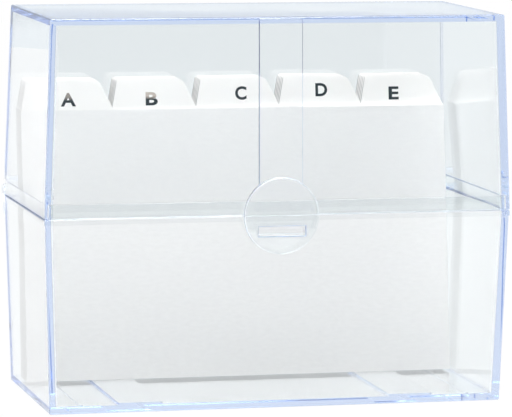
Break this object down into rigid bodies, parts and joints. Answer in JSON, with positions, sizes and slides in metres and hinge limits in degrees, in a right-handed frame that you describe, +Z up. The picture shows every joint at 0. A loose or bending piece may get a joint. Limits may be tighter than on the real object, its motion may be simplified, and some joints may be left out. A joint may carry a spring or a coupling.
{
  "type": "index card box",
  "caption": "Clear plastic desk box for index cards: tray and hinged lid that meet at a seam, snap disc at the front, and white alphabetical tab dividers leaning inside.",
  "frame": {"origin": "under the middle of the tray, on its underside", "axes": "+X to the right along the seam, +Y to the hinge at the back, +Z up"},
  "size_m": [0.218, 0.115, 0.179],
  "materials": {
    "clear_shell": "polished clear polystyrene with a faint blue cast",
    "white_card": "smooth white index board"
  },
  "bodies": {
    "base": {"base_shell": "clear_shell"},
    "lid": {"lid_shell": "clear_shell"},
    "divider_a": {"divider_a": "white_card"},
    "divider_b": {"divider_b": "white_card"},
    "divider_c": {"divider_c": "white_card"},
    "divider_d": {"divider_d": "white_card"},
    "divider_e": {"divider_e": "white_card"},
    "divider_f": {"divider_f": "white_card"},
    "divider_g": {"divider_g": "white_card"},
    "divider_h": {"divider_h": "white_card"},
    "divider_i": {"divider_i": "white_card"},
    "divider_j": {"divider_j": "white_card"},
    "divider_k": {"divider_k": "white_card"},
    "divider_l": {"divider_l": "white_card"},
    "divider_m": {"divider_m": "white_card"},
    "divider_n": {"divider_n": "white_card"},
    "divider_o": {"divider_o": "white_card"},
    "divider_p": {"divider_p": "white_card"},
    "divider_q": {"divider_q": "white_card"},
    "divider_r": {"divider_r": "white_card"},
    "divider_s": {"divider_s": "white_card"},
    "divider_t": {"divider_t": "white_card"},
    "divider_u": {"divider_u": "white_card"},
    "divider_v": {"divider_v": "white_card"},
    "divider_w": {"divider_w": "white_card"},
    "divider_x": {"divider_x": "white_card"},
    "divider_yz": {"divider_yz": "white_card"}
  },
  "joints": [
    {"name": "lid_hinge", "type": "hinge", "parent": "base", "child": "lid", "pos_m": [0, 0.054, 0.0902], "axis": [-1, 0, 0], "range_deg": [0, 110]},
    {"name": "divider_a_tilt", "type": "hinge", "parent": "base", "child": "divider_a", "pos_m": [0, 0.017, 0.0043], "axis": [1, 0, 0], "range_deg": [0, 30]},
    {"name": "divider_b_tilt", "type": "hinge", "parent": "base", "child": "divider_b", "pos_m": [0, 0.01762, 0.0043], "axis": [1, 0, 0], "range_deg": [0, 29.06]},
    {"name": "divider_c_tilt", "type": "hinge", "parent": "base", "child": "divider_c", "pos_m": [0, 0.01825, 0.0043], "axis": [1, 0, 0], "range_deg": [0, 28.12]},
    {"name": "divider_d_tilt", "type": "hinge", "parent": "base", "child": "divider_d", "pos_m": [0, 0.01887, 0.0043], "axis": [1, 0, 0], "range_deg": [0, 27.19]},
    {"name": "divider_e_tilt", "type": "hinge", "parent": "base", "child": "divider_e", "pos_m": [0, 0.0195, 0.0043], "axis": [1, 0, 0], "range_deg": [0, 26.25]},
    {"name": "divider_f_tilt", "type": "hinge", "parent": "base", "child": "divider_f", "pos_m": [0, 0.02013, 0.0043], "axis": [1, 0, 0], "range_deg": [0, 25.31]},
    {"name": "divider_g_tilt", "type": "hinge", "parent": "base", "child": "divider_g", "pos_m": [0, 0.02075, 0.0043], "axis": [1, 0, 0], "range_deg": [0, 24.38]},
    {"name": "divider_h_tilt", "type": "hinge", "parent": "base", "child": "divider_h", "pos_m": [0, 0.02138, 0.0043], "axis": [1, 0, 0], "range_deg": [0, 23.44]},
    {"name": "divider_i_tilt", "type": "hinge", "parent": "base", "child": "divider_i", "pos_m": [0, 0.022, 0.0043], "axis": [1, 0, 0], "range_deg": [0, 22.5]},
    {"name": "divider_j_tilt", "type": "hinge", "parent": "base", "child": "divider_j", "pos_m": [0, 0.02262, 0.0043], "axis": [1, 0, 0], "range_deg": [0, 21.56]},
    {"name": "divider_k_tilt", "type": "hinge", "parent": "base", "child": "divider_k", "pos_m": [0, 0.02325, 0.0043], "axis": [1, 0, 0], "range_deg": [0, 20.62]},
    {"name": "divider_l_tilt", "type": "hinge", "parent": "base", "child": "divider_l", "pos_m": [0, 0.02388, 0.0043], "axis": [1, 0, 0], "range_deg": [0, 19.69]},
    {"name": "divider_m_tilt", "type": "hinge", "parent": "base", "child": "divider_m", "pos_m": [0, 0.0245, 0.0043], "axis": [1, 0, 0], "range_deg": [0, 18.75]},
    {"name": "divider_n_tilt", "type": "hinge", "parent": "base", "child": "divider_n", "pos_m": [0, 0.02513, 0.0043], "axis": [1, 0, 0], "range_deg": [0, 17.81]},
    {"name": "divider_o_tilt", "type": "hinge", "parent": "base", "child": "divider_o", "pos_m": [0, 0.02575, 0.0043], "axis": [1, 0, 0], "range_deg": [0, 16.88]},
    {"name": "divider_p_tilt", "type": "hinge", "parent": "base", "child": "divider_p", "pos_m": [0, 0.02637, 0.0043], "axis": [1, 0, 0], "range_deg": [0, 15.94]},
    {"name": "divider_q_tilt", "type": "hinge", "parent": "base", "child": "divider_q", "pos_m": [0, 0.027, 0.0043], "axis": [1, 0, 0], "range_deg": [0, 15]},
    {"name": "divider_r_tilt", "type": "hinge", "parent": "base", "child": "divider_r", "pos_m": [0, 0.02763, 0.0043], "axis": [1, 0, 0], "range_deg": [0, 14.06]},
    {"name": "divider_s_tilt", "type": "hinge", "parent": "base", "child": "divider_s", "pos_m": [0, 0.02825, 0.0043], "axis": [1, 0, 0], "range_deg": [0, 13.12]},
    {"name": "divider_t_tilt", "type": "hinge", "parent": "base", "child": "divider_t", "pos_m": [0, 0.02888, 0.0043], "axis": [1, 0, 0], "range_deg": [0, 12.19]},
    {"name": "divider_u_tilt", "type": "hinge", "parent": "base", "child": "divider_u", "pos_m": [0, 0.0295, 0.0043], "axis": [1, 0, 0], "range_deg": [0, 11.25]},
    {"name": "divider_v_tilt", "type": "hinge", "parent": "base", "child": "divider_v", "pos_m": [0, 0.03012, 0.0043], "axis": [1, 0, 0], "range_deg": [0, 10.31]},
    {"name": "divider_w_tilt", "type": "hinge", "parent": "base", "child": "divider_w", "pos_m": [0, 0.03075, 0.0043], "axis": [1, 0, 0], "range_deg": [0, 9.38]},
    {"name": "divider_x_tilt", "type": "hinge", "parent": "base", "child": "divider_x", "pos_m": [0, 0.03138, 0.0043], "axis": [1, 0, 0], "range_deg": [0, 8.44]},
    {"name": "divider_yz_tilt", "type": "hinge", "parent": "base", "child": "divider_yz", "pos_m": [0, 0.032, 0.0043], "axis": [1, 0, 0], "range_deg": [0, 7.5]}
  ],
  "couplings": [
    {"joint": "divider_b_tilt", "follows": "divider_a_tilt", "ratio": 0.96875},
    {"joint": "divider_c_tilt", "follows": "divider_a_tilt", "ratio": 0.9375},
    {"joint": "divider_d_tilt", "follows": "divider_a_tilt", "ratio": 0.90625},
    {"joint": "divider_e_tilt", "follows": "divider_a_tilt", "ratio": 0.875},
    {"joint": "divider_f_tilt", "follows": "divider_a_tilt", "ratio": 0.84375},
    {"joint": "divider_g_tilt", "follows": "divider_a_tilt", "ratio": 0.8125},
    {"joint": "divider_h_tilt", "follows": "divider_a_tilt", "ratio": 0.78125},
    {"joint": "divider_i_tilt", "follows": "divider_a_tilt", "ratio": 0.75},
    {"joint": "divider_j_tilt", "follows": "divider_a_tilt", "ratio": 0.71875},
    {"joint": "divider_k_tilt", "follows": "divider_a_tilt", "ratio": 0.6875},
    {"joint": "divider_l_tilt", "follows": "divider_a_tilt", "ratio": 0.65625},
    {"joint": "divider_m_tilt", "follows": "divider_a_tilt", "ratio": 0.625},
    {"joint": "divider_n_tilt", "follows": "divider_a_tilt", "ratio": 0.59375},
    {"joint": "divider_o_tilt", "follows": "divider_a_tilt", "ratio": 0.5625},
    {"joint": "divider_p_tilt", "follows": "divider_a_tilt", "ratio": 0.53125},
    {"joint": "divider_q_tilt", "follows": "divider_a_tilt", "ratio": 0.5},
    {"joint": "divider_r_tilt", "follows": "divider_a_tilt", "ratio": 0.46875},
    {"joint": "divider_s_tilt", "follows": "divider_a_tilt", "ratio": 0.4375},
    {"joint": "divider_t_tilt", "follows": "divider_a_tilt", "ratio": 0.40625},
    {"joint": "divider_u_tilt", "follows": "divider_a_tilt", "ratio": 0.375},
    {"joint": "divider_v_tilt", "follows": "divider_a_tilt", "ratio": 0.34375},
    {"joint": "divider_w_tilt", "follows": "divider_a_tilt", "ratio": 0.3125},
    {"joint": "divider_x_tilt", "follows": "divider_a_tilt", "ratio": 0.28125},
    {"joint": "divider_yz_tilt", "follows": "divider_a_tilt", "ratio": 0.25}
  ]
}
